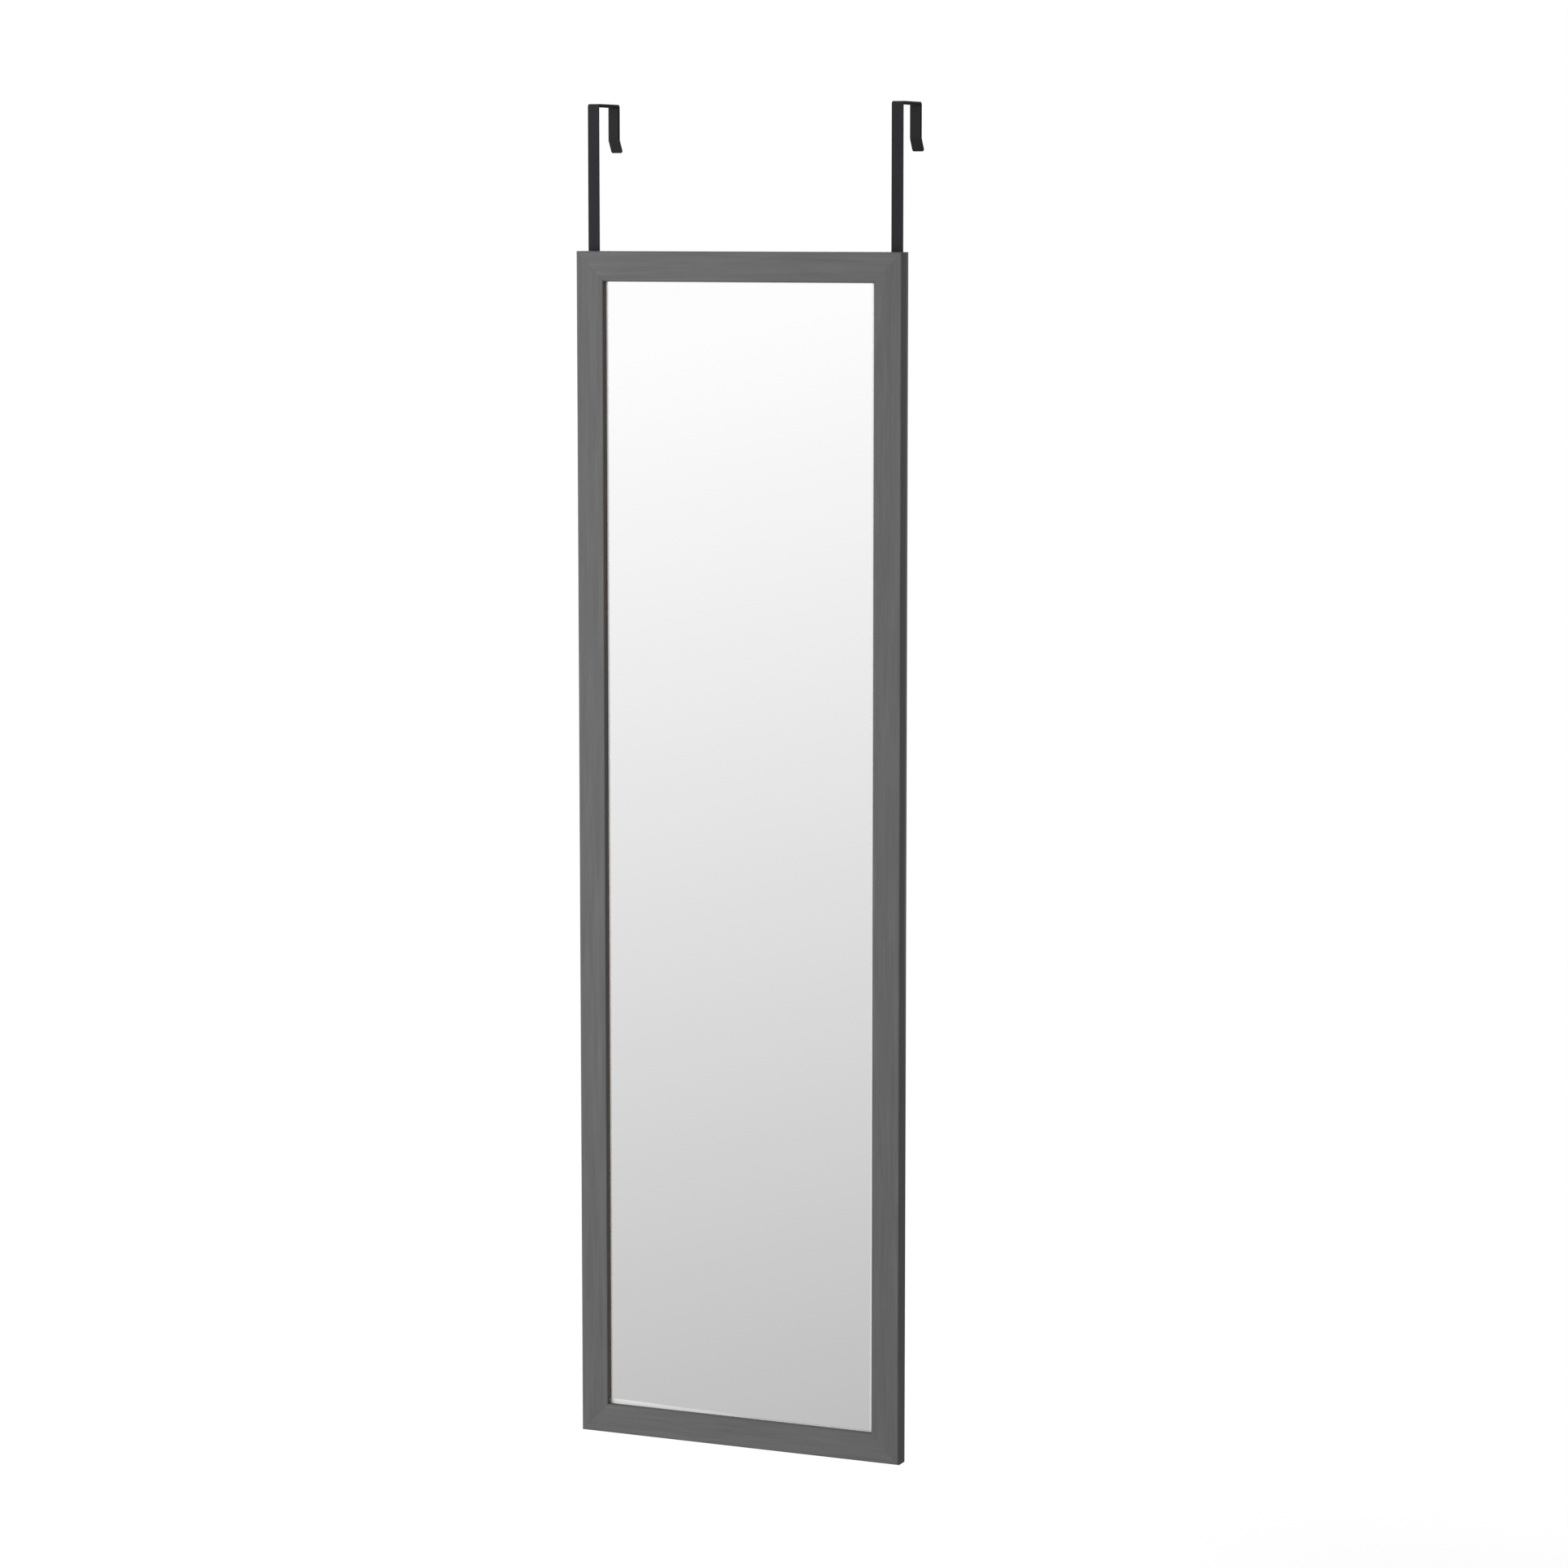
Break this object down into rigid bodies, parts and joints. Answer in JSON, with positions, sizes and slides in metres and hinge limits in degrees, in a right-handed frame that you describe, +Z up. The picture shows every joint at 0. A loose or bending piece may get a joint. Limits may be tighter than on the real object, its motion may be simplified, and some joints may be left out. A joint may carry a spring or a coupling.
{
  "type": "over the door mirror",
  "caption": "Tall narrow framed mirror that hangs over a door's top edge on bent flat steel hooks, with a mitred wood grain frame and a hardboard back.",
  "frame": {"origin": "on the door's top front edge, midway between the hooks: X on the frame's centre line, Y on the door's front face, Z on the door's top edge", "axes": "+X to the right as seen from the front, +Y from the mirror's face towards the door, +Z up"},
  "size_m": [0.35, 0.0719, 1.345],
  "materials": {
    "frame_foil": "dark grey wood grain foil on fibreboard, satin",
    "mirror_glass": "silvered float glass",
    "white_foam": "thin closed cell foam sheet",
    "hardboard": "brown hardboard, screen pattern outwards",
    "zinc_steel": "zinc plated",
    "black_steel": "satin black powder coat",
    "black_foam": "matte foam rubber"
  },
  "bodies": {
    "root": {"frame_stile_left": "frame_foil", "frame_stile_right": "frame_foil", "frame_rail_top": "frame_foil", "frame_rail_bottom": "frame_foil", "mirror_pane": "mirror_glass", "foam_sheet": "white_foam", "backing_board": "hardboard", "glazing_points": "zinc_steel", "v_nails": "zinc_steel", "hook_left": "black_steel", "hook_right": "black_steel", "hook_screws": "zinc_steel", "top_pad_left": "black_foam", "top_pad_right": "black_foam", "leg_pad_left": "black_foam", "leg_pad_right": "black_foam", "bumper_left": "black_foam", "bumper_right": "black_foam"}
  },
  "joints": []
}
